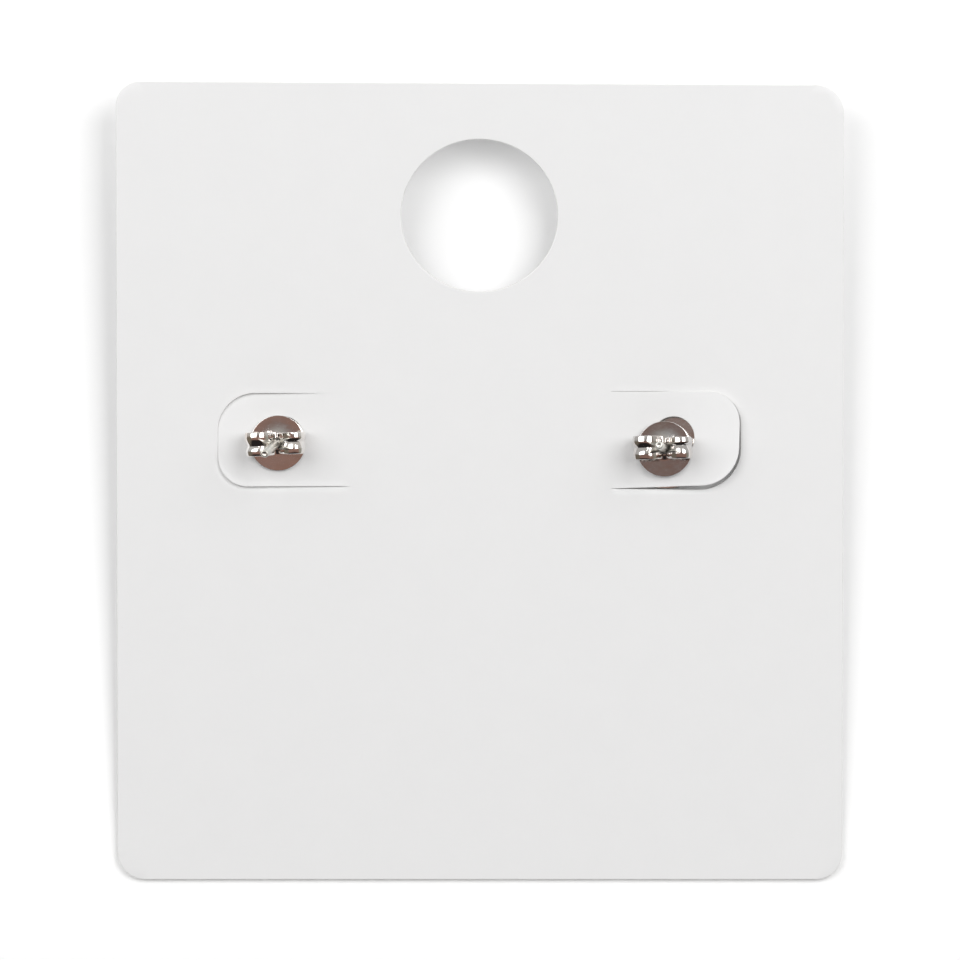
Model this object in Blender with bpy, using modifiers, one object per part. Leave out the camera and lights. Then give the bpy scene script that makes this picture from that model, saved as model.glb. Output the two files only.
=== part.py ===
"""A pair of stud earrings with butterfly clutches, held on a die-cut display card.

Metres, +Z up.  The card lies with its back face up: its bottom edge (towards -Y)
and the two stud heads under it stand on z = 0.  +Y points to the hang hole and
+X to the tab that is bent up.  The origin is the middle of the bounding box at
its base.  Lengths in the tables below are millimetres.
"""
from math import atan2, cos, hypot, pi, radians, sin, sqrt

import bmesh
import bpy
from mathutils import Euler, Matrix, Vector

MM = 0.001
COLLECTION = "stud_earrings_on_display_card"

# ---------------------------------------------------------------- display card
CARD_THICKNESS = 0.50
CARD_TILT_DEG = 3.72            # the heads hold the card up above its bottom edge
CORNER_STEPS = 8
# corners in order round the outline
CARD_CORNERS = (
    {"x": 30.0, "y": -32.95, "radius": 2.15},
    {"x": 30.0, "y": 32.80, "radius": 2.30},
    {"x": -30.0, "y": 33.12, "radius": 1.95},
    {"x": -30.0, "y": -32.95, "radius": 2.25},
)
HANG_HOLE = {"x": -0.04, "y": 22.07, "half_width": 6.47, "half_height": 6.30}
HANG_HOLE_STEPS = 56
SLIT_WIDTH = 0.12
TAB_HOLE_STEPS = 32
# lift_mid and lift_twist are how far the free end stands up at its middle, and
# how much more at its lower corner
TABS = (
    {"name": "left", "root_x": -10.77, "free_x": -21.63, "low_y": -0.33, "high_y": 7.38,
     "radius_low": 2.48, "radius_high": 3.05, "hole_x": -16.27, "hole_y": 3.82, "hole_radius": 1.64,
     "lift_mid": 0.0, "lift_twist": 0.32},
    {"name": "right", "root_x": 10.84, "free_x": 21.51, "low_y": -0.46, "high_y": 7.53,
     "radius_low": 3.36, "radius_high": 2.60, "hole_x": 16.00, "hole_y": 3.75, "hole_radius": 1.72,
     "lift_mid": 0.74, "lift_twist": 0.42},
)
TAB_BEND_SHARE = 0.30           # share of the tab's length that takes the bend
TAB_BEND_LINES = 9
BAND_LINES_Y = (-4.0, 11.0)     # lines across the card that part its plain bands from the tabs

# ------------------------------------------------------------------------ stud
STUD_STEPS = 36
HEAD_RADIUS = 3.30
HEAD_THICKNESS = 1.90
HEAD_RIM = 0.35                 # straight band between the back face and the dome
POST_RADIUS = 0.325
POST_LENGTH = 9.60
NOTCH_FROM_TIP = 1.10
NOTCH_LENGTH = 0.50
NOTCH_DEPTH = 0.06
SOLDER_FILLET = 0.18

# ---------------------------------------------------------------------- clutch
DISC_RADIUS = 2.28
DISC_THICKNESS = 0.25
DISC_CHAMFER = 0.05
BORE_CLEARANCE = 0.07           # radial, on the post
COLLAR_RISE = 0.17              # the metal is drawn up round the bore
DISC_STEPS = 40
STRIP_THICKNESS = 0.20
# the outer face of one arm, from inside the disc, up and over, to the rolled-in
# end: where it starts (out from the bore, and above the disc's lower face), then
# runs of (length, degrees turned), with the strip's width, the depth of its
# lengthwise groove and how far its edges fall away at the end of each run
ARM_START = (1.15, 0.03)
ARM_RUNS = (
    (0.807, 0.0, 1.90, 0.00, 0.00),
    (0.768, 80.0, 1.94, 0.02, 0.02),
    (1.047, 10.0, 1.96, 0.12, 0.05),
    (0.720, 0.0, 1.98, 0.19, 0.06),
    (0.393, 45.0, 1.98, 0.20, 0.06),
    (1.068, 45.0, 1.98, 0.20, 0.06),
    (0.556, 27.0, 1.96, 0.16, 0.06),
    (1.748, 63.0, 1.84, 0.28, 0.05),
    (0.660, 90.0, 1.70, 0.14, 0.01),
    (0.349, 40.0, 1.60, 0.00, 0.00),
)
ARM_CREST = 1.482               # how far out the arm stands highest
POST_ROOM = 0.05                # the grooves keep this far off the post

# --------------------------------------------------------------------- placing
SEAT_GAP = 0.04                 # between a clutch's disc and the tab under it
# where each post passes through its clutch, which way the post and the clutch
# lean (run over rise), and how far the clutch is turned on the post.  The arms
# are bent by hand: arm_lean is run over rise, and each arm has its ridges (high
# and low) and the bottom of its groove at its own distance from the strip's
# middle, and its own share of the lower wall's depth, of the groove and fallen
# edge on the inner side, and of how far it stands out past its crest.
EARRINGS = (
    {"name": "left", "x": -16.68, "y": 3.233, "post_lean_x": -0.1122, "post_lean_y": -0.1091,
     "clutch_lean_x": 0.0, "clutch_lean_y": -0.026, "clutch_turn_deg": 2.0, "arm_lean": -0.040,
     "arms": ({"side": -1.0, "high": 0.52, "groove": -0.16, "low": -0.62, "depth_low": 0.65,
               "inner": 0.8, "edge": (0.5, 0.5), "spread": (1.0, 1.0), "wide": 1.0, "y": 0.0},
              {"side": 1.0, "high": 0.46, "groove": 0.10, "low": -0.46, "depth_low": 0.80,
               "inner": 1.0, "edge": (-1.3, 0.8), "spread": (0.82, 0.75), "wide": 0.91, "y": 0.0})},
    {"name": "right", "x": 15.236, "y": 2.743, "post_lean_x": -0.072, "post_lean_y": 0.034,
     "clutch_lean_x": -0.007, "clutch_lean_y": 0.026, "clutch_turn_deg": 1.5, "arm_lean": -0.025,
     "arms": ({"side": -1.0, "high": 0.50, "groove": 0.00, "low": -0.56, "depth_low": 0.75,
               "inner": 0.5, "edge": (0.4, 0.4), "spread": (1.0, 1.0), "wide": 1.0, "y": 0.07},
              {"side": 1.0, "high": 0.46, "groove": 0.20, "low": -0.43, "depth_low": 0.90,
               "inner": 0.9, "edge": (0.3, 1.0), "spread": (0.80, 0.71), "wide": 0.91, "y": 0.0})},
)


# --------------------------------------------------------------- small helpers
def clear_scene():
    for obj in list(bpy.data.objects):
        bpy.data.objects.remove(obj, do_unlink=True)
    for block in (bpy.data.meshes, bpy.data.curves, bpy.data.materials):
        for item in list(block):
            block.remove(item)


def make_collection(name):
    col = bpy.data.collections.new(name)
    bpy.context.scene.collection.children.link(col)
    return col


def make_material(name, colour, roughness, metallic):
    mat = bpy.data.materials.new(name)
    mat.use_nodes = True
    bsdf = mat.node_tree.nodes["Principled BSDF"]
    bsdf.inputs["Base Color"].default_value = (*colour, 1.0)
    bsdf.inputs["Roughness"].default_value = roughness
    bsdf.inputs["Metallic"].default_value = metallic
    return mat


def mesh_object(name, bm, col):
    mesh = bpy.data.meshes.new(name)
    bm.to_mesh(mesh)
    bm.free()
    obj = bpy.data.objects.new(name, mesh)
    col.objects.link(obj)
    return obj


def evaluated_mesh(obj, name):
    bpy.context.view_layer.update()
    deps = bpy.context.evaluated_depsgraph_get()
    return bpy.data.meshes.new_from_object(obj.evaluated_get(deps), depsgraph=deps)


def mark_guide(obj):
    obj.hide_render = True
    obj.display_type = "WIRE"


def boolean(obj, other, operation):
    mod = obj.modifiers.new(operation.lower() + "_" + other.name, "BOOLEAN")
    mod.operation = operation
    mod.solver = "EXACT"
    mod.object = other
    return mod


# ------------------------------------------------------------------- the card
def card_outline():
    """Points round the card, counter-clockwise, with an arc at each corner."""
    points = []
    count = len(CARD_CORNERS)
    for i, corner in enumerate(CARD_CORNERS):
        here = Vector((corner["x"], corner["y"]))
        before = Vector((CARD_CORNERS[i - 1]["x"], CARD_CORNERS[i - 1]["y"]))
        after = Vector((CARD_CORNERS[(i + 1) % count]["x"], CARD_CORNERS[(i + 1) % count]["y"]))
        to_before = (before - here).normalized()
        to_after = (after - here).normalized()
        half = to_before.angle(to_after) / 2.0
        centre = here + (to_before + to_after).normalized() * corner["radius"] / sin(half)
        first = here + to_before * corner["radius"] / (sin(half) / cos(half)) - centre
        last = here + to_after * corner["radius"] / (sin(half) / cos(half)) - centre
        a0 = atan2(first.y, first.x)
        turn = (atan2(last.y, last.x) - a0) % (2.0 * pi)
        for k in range(CORNER_STEPS + 1):
            a = a0 + turn * k / CORNER_STEPS
            points.append((centre.x + corner["radius"] * cos(a), centre.y + corner["radius"] * sin(a)))
    return points


def flat_outline_mesh(name, points, low, high):
    """A flat outline as a filled 2D curve, extruded between two heights."""
    curve = bpy.data.curves.new(name, "CURVE")
    curve.dimensions = "2D"
    curve.fill_mode = "BOTH"
    curve.extrude = (high - low) / 2.0 * MM
    spline = curve.splines.new("POLY")
    spline.points.add(len(points) - 1)
    for p, (x, y) in zip(spline.points, points):
        p.co = (x * MM, y * MM, 0.0, 1.0)
    spline.use_cyclic_u = True
    obj = bpy.data.objects.new(name, curve)
    obj.location.z = (high + low) / 2.0 * MM
    bpy.context.scene.collection.objects.link(obj)
    mesh = evaluated_mesh(obj, name)
    mesh.transform(obj.matrix_world)
    bpy.data.objects.remove(obj, do_unlink=True)
    bm = bmesh.new()
    bm.from_mesh(mesh)
    bmesh.ops.remove_doubles(bm, verts=bm.verts, dist=1e-7)
    bmesh.ops.recalc_face_normals(bm, faces=bm.faces)
    bpy.data.meshes.remove(mesh)
    return bm


def round_cutter(name, x, y, rx, ry, steps, col):
    bm = bmesh.new()
    bmesh.ops.create_cone(bm, cap_ends=True, segments=steps, radius1=MM, radius2=MM, depth=6.0 * MM)
    bmesh.ops.scale(bm, vec=(rx, ry, 1.0), verts=bm.verts)
    bmesh.ops.translate(bm, vec=(x * MM, y * MM, 0.0), verts=bm.verts)
    obj = mesh_object(name, bm, col)
    mark_guide(obj)
    return obj


def slit_path(tab):
    """The U of a tab's slit, from the upper root round the free end to the lower root."""
    side = 1.0 if tab["free_x"] > tab["root_x"] else -1.0
    points = [(tab["root_x"], tab["high_y"])]
    for y_edge, radius, start in ((tab["high_y"], tab["radius_high"], 90.0), (tab["low_y"], tab["radius_low"], 0.0)):
        cy = y_edge - radius if start > 0.0 else y_edge + radius
        cx = tab["free_x"] - side * radius
        for k in range(CORNER_STEPS + 3):
            a = radians(start - 90.0 * k / (CORNER_STEPS + 2))
            points.append((cx + side * radius * cos(a), cy + radius * sin(a)))
    points.append((tab["root_x"], tab["low_y"]))
    return points


def slit_cutter(tab, col):
    """A standing ribbon along the slit's path, thickened to the slit's width."""
    bm = bmesh.new()
    rows = []
    for x, y in slit_path(tab):
        rows.append((bm.verts.new((x * MM, y * MM, -3.0 * MM)), bm.verts.new((x * MM, y * MM, 3.0 * MM))))
    for (a0, a1), (b0, b1) in zip(rows, rows[1:]):
        bm.faces.new((a0, b0, b1, a1))
    obj = mesh_object("slit_" + tab["name"], bm, col)
    mod = obj.modifiers.new("slit_width", "SOLIDIFY")
    mod.thickness = SLIT_WIDTH * MM
    mod.offset = 0.0
    mod.use_even_offset = True
    mark_guide(obj)
    return obj


def bend_ramp(u):
    """0 at the root, 1 at the free end, bent over the first share and then straight."""
    share = TAB_BEND_SHARE
    value = u * u / (2.0 * share) if u < share else u - share / 2.0
    return value / (1.0 - share / 2.0)


def tab_lift(tab, x, y):
    u = (x - tab["root_x"]) / (tab["free_x"] - tab["root_x"])
    if u <= 0.0:
        return 0.0
    mid = (tab["low_y"] + tab["high_y"]) / 2.0
    v = (y - mid) / (tab["high_y"] - mid)
    return (tab["lift_mid"] - tab["lift_twist"] * v) * bend_ramp(u)


def inside_tab(tab, x, y):
    """True inside the slit's centre line, rounded corners included."""
    side = 1.0 if tab["free_x"] > tab["root_x"] else -1.0
    if (x - tab["root_x"]) * side < -1e-4 or (tab["free_x"] - x) * side < 0.0:
        return False
    if not tab["low_y"] <= y <= tab["high_y"]:
        return False
    for up, edge, radius in ((1.0, tab["high_y"], tab["radius_high"]), (-1.0, tab["low_y"], tab["radius_low"])):
        cx, cy = tab["free_x"] - side * radius, edge - up * radius
        if (x - cx) * side > 0.0 and (y - cy) * up > 0.0 and hypot(x - cx, y - cy) > radius:
            return False
    return True


def bend_tab(bm, tab):
    """Lay bend lines across a tab and lift its free end."""
    if tab["lift_mid"] == 0.0 and tab["lift_twist"] == 0.0:
        return
    root = (tab["root_x"] * MM, 0.0, 0.0)
    bmesh.ops.bisect_plane(bm, geom=bm.verts[:] + bm.edges[:] + bm.faces[:], dist=1e-8,
                           plane_co=root, plane_no=(1.0, 0.0, 0.0))

    def tab_faces():
        found = []
        for f in bm.faces:
            c = f.calc_center_median() / MM
            if inside_tab(tab, c.x, c.y) and abs(c.x - tab["root_x"]) > 1e-3:
                if all(inside_tab(tab, v.co.x / MM, v.co.y / MM) for v in f.verts):
                    found.append(f)
        return found

    length = tab["free_x"] - tab["root_x"]
    for k in range(1, TAB_BEND_LINES + 1):
        share = (k / (TAB_BEND_LINES + 1)) ** 1.6
        faces = tab_faces()
        edges = {e for f in faces for e in f.edges}
        verts = {v for f in faces for v in f.verts}
        bmesh.ops.bisect_plane(bm, geom=list(verts) + list(edges) + faces, dist=1e-8,
                               plane_co=((tab["root_x"] + length * share) * MM, 0.0, 0.0),
                               plane_no=(1.0, 0.0, 0.0))
    for v in {v for f in tab_faces() for v in f.verts}:
        v.co.z += tab_lift(tab, v.co.x / MM, v.co.y / MM) * MM


def build_card(parts, guides):
    bm = flat_outline_mesh("card_blank", card_outline(), 0.0, CARD_THICKNESS)
    blank = mesh_object("card_blank", bm, guides)
    mark_guide(blank)
    hole = HANG_HOLE
    boolean(blank, round_cutter("hang_hole_punch", hole["x"], hole["y"], hole["half_width"],
                                hole["half_height"], HANG_HOLE_STEPS, guides), "DIFFERENCE")
    for tab in TABS:
        boolean(blank, round_cutter("tab_punch_" + tab["name"], tab["hole_x"], tab["hole_y"],
                                    tab["hole_radius"], tab["hole_radius"], TAB_HOLE_STEPS, guides), "DIFFERENCE")
        boolean(blank, slit_cutter(tab, guides), "DIFFERENCE")
    mesh = evaluated_mesh(blank, "display_card")
    bm = bmesh.new()
    bm.from_mesh(mesh)
    bpy.data.meshes.remove(mesh)
    bmesh.ops.remove_doubles(bm, verts=bm.verts, dist=1e-7)
    bmesh.ops.triangulate(bm, faces=bm.faces)
    for y in BAND_LINES_Y:
        bmesh.ops.bisect_plane(bm, geom=bm.verts[:] + bm.edges[:] + bm.faces[:], dist=1e-8,
                               plane_co=(0.0, y * MM, 0.0), plane_no=(0.0, 1.0, 0.0))
    for tab in TABS:
        bend_tab(bm, tab)
    bmesh.ops.triangulate(bm, faces=bm.faces)
    bmesh.ops.recalc_face_normals(bm, faces=bm.faces)
    return mesh_object("display_card", bm, parts)


# ------------------------------------------------------------------- the studs
def stud_profile():
    """Half section of head and post: radius and height above the head's back face."""
    rise = HEAD_THICKNESS - HEAD_RIM
    ball = (HEAD_RADIUS ** 2 + rise ** 2) / (2.0 * rise)
    tip = POST_LENGTH
    notch = tip - NOTCH_FROM_TIP
    points = [
        (0.0, tip), (0.6 * POST_RADIUS, tip - 0.04), (0.9 * POST_RADIUS, tip - 0.14),
        (POST_RADIUS, tip - 0.32),
        (POST_RADIUS, notch), (POST_RADIUS - NOTCH_DEPTH, notch - 0.12),
        (POST_RADIUS - NOTCH_DEPTH, notch - NOTCH_LENGTH + 0.12), (POST_RADIUS, notch - NOTCH_LENGTH),
        (POST_RADIUS, SOLDER_FILLET), (POST_RADIUS + 0.3 * SOLDER_FILLET, 0.3 * SOLDER_FILLET),
        (POST_RADIUS + SOLDER_FILLET, 0.0),
        (HEAD_RADIUS - 0.08, 0.0), (HEAD_RADIUS, -0.08), (HEAD_RADIUS, -HEAD_RIM),
    ]
    for k in range(1, 9):
        r = HEAD_RADIUS * cos(pi / 2.0 * k / 8.0)
        points.append((r, -HEAD_THICKNESS + ball - sqrt(ball * ball - r * r)))
    points[-1] = (0.0, -HEAD_THICKNESS)
    return points


def turned(name, points, steps, closed, col):
    """A profile turned about Z with a Screw modifier."""
    bm = bmesh.new()
    verts = [bm.verts.new((r * MM, 0.0, z * MM)) for r, z in points]
    for a, b in zip(verts, verts[1:]):
        bm.edges.new((a, b))
    if closed:
        bm.edges.new((verts[-1], verts[0]))
    obj = mesh_object(name, bm, col)
    mod = obj.modifiers.new("turn", "SCREW")
    mod.axis = "Z"
    mod.angle = 2.0 * pi
    mod.steps = steps
    mod.render_steps = steps
    mod.use_merge_vertices = True
    mod.merge_threshold = 1e-7
    mod.use_smooth_shade = True
    return obj


def lean_axis(lean_x, lean_y):
    return Vector((lean_x, lean_y, 1.0)).normalized()


def lowest_of_turned(points, steps, axis):
    """Lowest point of a turned solid that stands with its origin at height 0."""
    rot = Vector((0.0, 0.0, 1.0)).rotation_difference(axis).to_matrix()
    low = 0.0
    for r, z in points:
        for k in range(steps):
            a = 2.0 * pi * k / steps
            low = min(low, (rot @ Vector((r * cos(a), r * sin(a), z))).z)
    return low


# ----------------------------------------------------------------- the clutches
ARM_STEP_DEG = 9.0              # a station at least this often round the bends
ARM_STEP_LENGTH = 0.40          # and this often along the straights


def step_up(x, a, b):
    t = min(1.0, max(0.0, (x - a) / (b - a)))
    return t * t * (3.0 - 2.0 * t)


def arm_path():
    """Stations along the arm's outer face: (x, z, heading, width, groove, droop)."""
    x, z = ARM_START
    heading = 0.0
    last = ARM_RUNS[0][2:]
    rows = [(x, z, heading) + tuple(last)]
    for length, degrees, width, groove, droop in ARM_RUNS:
        count = max(1, round(max(degrees / ARM_STEP_DEG, length / ARM_STEP_LENGTH)))
        turn = radians(degrees)
        for k in range(1, count + 1):
            t = k / count
            if turn == 0.0:
                dx, dz = length * t, 0.0
            else:
                dx, dz = sin(turn * t) * length / turn, (1.0 - cos(turn * t)) * length / turn
            at = (x + dx * cos(heading) - dz * sin(heading), z + dx * sin(heading) + dz * cos(heading),
                  heading + turn * t)
            rows.append(at + tuple(a + (b - a) * t for a, b in zip(last, (width, groove, droop))))
        x, z, heading = rows[-1][:3]
        last = (width, groove, droop)
    return rows


def arm_section(row, arm, post, lean):
    """One closed section of an arm's strip, its groove kept clear of the leaning post."""
    x, z, heading, width, groove, droop = row
    side = arm["side"]
    if x > ARM_CREST:
        spread = arm["spread"][0] + (arm["spread"][1] - arm["spread"][0]) * step_up(z, 0.6, 2.0)
        x = ARM_CREST + (x - ARM_CREST) * spread
    nx, nz = sin(heading), -cos(heading)
    half = width * arm["wide"] / 2.0
    inner = step_up(heading, radians(178.0), radians(200.0))
    pinch = step_up(heading, radians(205.0), radians(255.0))
    groove *= 1.0 + (arm["inner"] - 1.0) * inner * (1.0 - pinch)
    droop_high = droop * (1.0 + (arm["edge"][0] - 1.0) * inner)
    droop_low = droop * (1.0 + (arm["edge"][1] - 1.0) * inner)
    bottom = arm["groove"] * (1.0 - pinch) + post[1] * (z - DISC_THICKNESS / 2.0) * pinch
    high = arm["high"] * (1.0 - pinch) + 0.5 * pinch
    low = arm["low"] * (1.0 - pinch) - 0.5 * pinch
    shallow = 1.0 + (arm["depth_low"] - 1.0) * (1.0 - pinch)
    outer, back = [], []
    stops = (
        (-half, groove * (1.0 - shallow) + droop_low),
        ((-half + low) / 2.0, groove * (1.0 - shallow) + droop_low / 4.0),
        (low, groove * (1.0 - shallow)), ((low + bottom) / 2.0, groove * (1.0 - 0.71 * shallow)),
        (bottom, groove), ((bottom + high) / 2.0, groove * 0.29),
        (high, 0.0), ((high + half) / 2.0, droop_high / 4.0), (half, droop_high),
    )
    for y, fall in stops:
        px, pz = x - nx * fall, z - nz * fall
        y += arm["y"]
        # how far out this point has to move to clear the post
        up = pz - DISC_THICKNESS / 2.0
        need = POST_RADIUS + POST_ROOM
        over = need * need - (y - post[1] * up) ** 2
        out = px + side * lean * max(0.0, pz - 0.25) - post[0] * up * side
        push = 0.0
        if over > 0.0 and out > -need:
            push = max(0.0, sqrt(over) - out) * step_up(heading, radians(150.0), radians(185.0))
        for row_out, depth in ((outer, 0.0), (back, STRIP_THICKNESS)):
            qx, qz = px + push - nx * depth, pz - nz * depth
            row_out.append((side * qx + lean * max(0.0, qz - 0.25), y, qz))
    return outer + back[::-1]


def build_clutch_mesh(ear, post, guides):
    """Disc with its bore, and two arms rolled up from it, as one solid."""
    half = DISC_THICKNESS / 2.0
    bore = POST_RADIUS + BORE_CLEARANCE
    c = DISC_CHAMFER
    disc = turned("clutch_blank_" + ear["name"], [
        (DISC_RADIUS - c, half), (DISC_RADIUS, half - c), (DISC_RADIUS, c - half), (DISC_RADIUS - c, -half),
        (bore, -half), (bore, half), (bore + 0.035, half + COLLAR_RISE), (bore + 0.105, half + COLLAR_RISE),
        (0.75, half + 0.55 * COLLAR_RISE), (1.10, half + 0.20 * COLLAR_RISE), (1.60, half)], DISC_STEPS, True, guides)
    path = arm_path()
    bm = bmesh.new()
    for arm in ear["arms"]:
        rows = []
        for station in path:
            section = arm_section(station, arm, post, ear["arm_lean"])
            rows.append([bm.verts.new((x * MM, y * MM, (z - half) * MM)) for x, y, z in section])
        for a, b in zip(rows, rows[1:]):
            for k in range(len(a)):
                m = (k + 1) % len(a)
                bm.faces.new((a[k], a[m], b[m], b[k]))
        for row, flip in ((rows[0], True), (rows[-1], False)):
            n = len(row) // 2
            for k in range(n - 1):
                quad = (row[k], row[k + 1], row[-2 - k], row[-1 - k])
                bm.faces.new(tuple(reversed(quad)) if flip else quad)
    bmesh.ops.recalc_face_normals(bm, faces=bm.faces)
    arms = mesh_object("clutch_arms_" + ear["name"], bm, guides)
    mark_guide(arms)
    boolean(disc, arms, "UNION")
    name = "clutch_" + ear["name"]
    mesh = evaluated_mesh(disc, name)
    mesh.name = name
    bm = bmesh.new()
    bm.from_mesh(mesh)
    bmesh.ops.remove_doubles(bm, verts=bm.verts, dist=1e-7)
    bmesh.ops.dissolve_degenerate(bm, edges=bm.edges, dist=1e-7)
    bmesh.ops.triangulate(bm, faces=bm.faces)
    bm.to_mesh(mesh)
    bm.free()
    mark_guide(disc)
    return mesh


# --------------------------------------------------------------------- assembly
def main():
    clear_scene()
    parts = make_collection(COLLECTION)
    guides = make_collection("guides")

    white_card = make_material("card_white", (0.86, 0.86, 0.86), 0.6, 0.0)
    stud_metal = make_material("stud_metal", (0.78, 0.76, 0.74), 0.12, 1.0)
    clutch_metal = make_material("clutch_metal", (0.74, 0.72, 0.70), 0.16, 1.0)

    # card, hung from an empty that holds its resting tilt
    tilt = radians(CARD_TILT_DEG)
    card = build_card(parts, guides)
    card.data.materials.append(white_card)
    rest = Matrix.Rotation(tilt, 4, "X")
    placed = [rest @ v.co for v in card.data.vertices]
    low_z = min(p.z for p in placed)
    mid_y = (min(p.y for p in placed) + max(p.y for p in placed)) / 2.0
    frame = bpy.data.objects.new("card_rest", None)
    parts.objects.link(frame)
    frame.location = (0.0, -mid_y, -low_z)
    frame.rotation_euler = Euler((tilt, 0.0, 0.0))
    card.parent = frame

    shift_y = -mid_y / MM
    shift_z = -low_z / MM

    def tab_height(tab, x, y):
        """Height of the tab's upper face above a point of the floor."""
        local_y = (y - shift_y + CARD_THICKNESS * sin(tilt)) / cos(tilt)
        z = CARD_THICKNESS + tab_lift(tab, x, local_y)
        return local_y * sin(tilt) + z * cos(tilt) + shift_z

    profile = stud_profile()
    stud_mesh = None

    for ear, tab in zip(EARRINGS, TABS):
        post_axis = lean_axis(ear["post_lean_x"], ear["post_lean_y"])
        clutch_axis = lean_axis(ear["clutch_lean_x"], ear["clutch_lean_y"])
        x, y = ear["x"], ear["y"] + shift_y

        # the disc comes down until its rim is SEAT_GAP above the tab
        seat = 0.0
        for k in range(72):
            a = 2.0 * pi * k / 72
            dx, dy = DISC_RADIUS * cos(a), DISC_RADIUS * sin(a)
            drop = (clutch_axis.x * dx + clutch_axis.y * dy) / clutch_axis.z
            seat = max(seat, tab_height(tab, x + dx, y + dy) + drop)
        disc_z = seat + SEAT_GAP + DISC_THICKNESS / 2.0

        # the head's dome touches the floor
        head_z = -lowest_of_turned(profile, STUD_STEPS, post_axis)
        reach = (disc_z - head_z) / post_axis.z
        head = Vector((x, y, disc_z)) - post_axis * reach

        stud = turned("stud_" + ear["name"], profile, STUD_STEPS, False, parts)
        if stud_mesh is None:
            stud_mesh = stud.data
            stud_mesh.materials.append(stud_metal)
        else:
            spare = stud.data
            stud.data = stud_mesh
            bpy.data.meshes.remove(spare)
        stud.location = head * MM
        stud.rotation_euler = Vector((0.0, 0.0, 1.0)).rotation_difference(post_axis).to_euler()

        # the post's way through this clutch, in the clutch's own axes
        turn = Matrix.Rotation(radians(ear["clutch_turn_deg"]), 3, "Z")
        stand = Vector((0.0, 0.0, 1.0)).rotation_difference(clutch_axis).to_matrix() @ turn
        along = stand.inverted() @ post_axis
        clutch_mesh = build_clutch_mesh(ear, (along.x / along.z, along.y / along.z), guides)
        clutch_mesh.materials.append(clutch_metal)
        clutch = bpy.data.objects.new("clutch_" + ear["name"], clutch_mesh)
        parts.objects.link(clutch)
        clutch.location = Vector((x, y, disc_z)) * MM
        clutch.rotation_euler = stand.to_euler()

    for obj in parts.objects:
        if obj.type == "MESH" and obj.name.startswith(("clutch", "display")):
            obj.data.shade_smooth()
            obj.data.set_sharp_from_angle(angle=radians(35.0))
    bpy.context.view_layer.update()


main()
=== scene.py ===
"""The finished look of a pair of stud earrings with butterfly clutches on a display card.

Metres, +Z up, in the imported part's own frame.  The card lies back face up, held
off the floor by the two stud heads; +Y points to the hang hole.  Lengths in the
tables below are millimetres, the same ones as the solid part is made from, with
the finer edges, folds, grooves and rounds that only the eye needs.
"""
from math import atan2, ceil, cos, hypot, pi, radians, sin, sqrt
import bmesh
import bpy
import numpy as np
from mathutils import Matrix, Vector
from mathutils.geometry import delaunay_2d_cdt


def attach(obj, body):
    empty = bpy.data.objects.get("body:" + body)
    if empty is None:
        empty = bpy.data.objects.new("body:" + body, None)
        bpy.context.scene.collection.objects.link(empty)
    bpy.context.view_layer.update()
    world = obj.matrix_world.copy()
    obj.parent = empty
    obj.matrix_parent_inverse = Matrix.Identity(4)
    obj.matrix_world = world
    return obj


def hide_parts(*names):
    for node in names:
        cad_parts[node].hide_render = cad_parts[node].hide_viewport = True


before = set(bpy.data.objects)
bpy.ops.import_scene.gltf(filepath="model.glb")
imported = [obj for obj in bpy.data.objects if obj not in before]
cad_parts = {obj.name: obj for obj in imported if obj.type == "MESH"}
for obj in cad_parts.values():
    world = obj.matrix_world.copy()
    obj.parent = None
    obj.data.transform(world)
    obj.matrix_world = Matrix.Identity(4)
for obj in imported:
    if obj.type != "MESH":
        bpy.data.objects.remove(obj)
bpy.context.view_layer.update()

MM = 0.001

# ---------------------------------------------------------------- display card
CARD_THICKNESS = 0.50
CARD_TILT_DEG = 3.72
CARD_SHIFT = (0.0, -0.06338, 2.13781)      # where the card's own origin stands
CORNER_STEPS = 22
CARD_CORNERS = (
    (30.0, -32.95, 2.15),
    (30.0, 32.80, 2.30),
    (-30.0, 33.12, 1.95),
    (-30.0, -32.95, 2.25),
)
HANG_HOLE = (-0.04, 22.07, 6.47, 6.30)     # x, y, half width, half height
EDGE_ROUND = 0.05                          # the cut edges are pressed round
SLIT_ROUND = 0.016                         # and the slits' edges are nearly sharp
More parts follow.
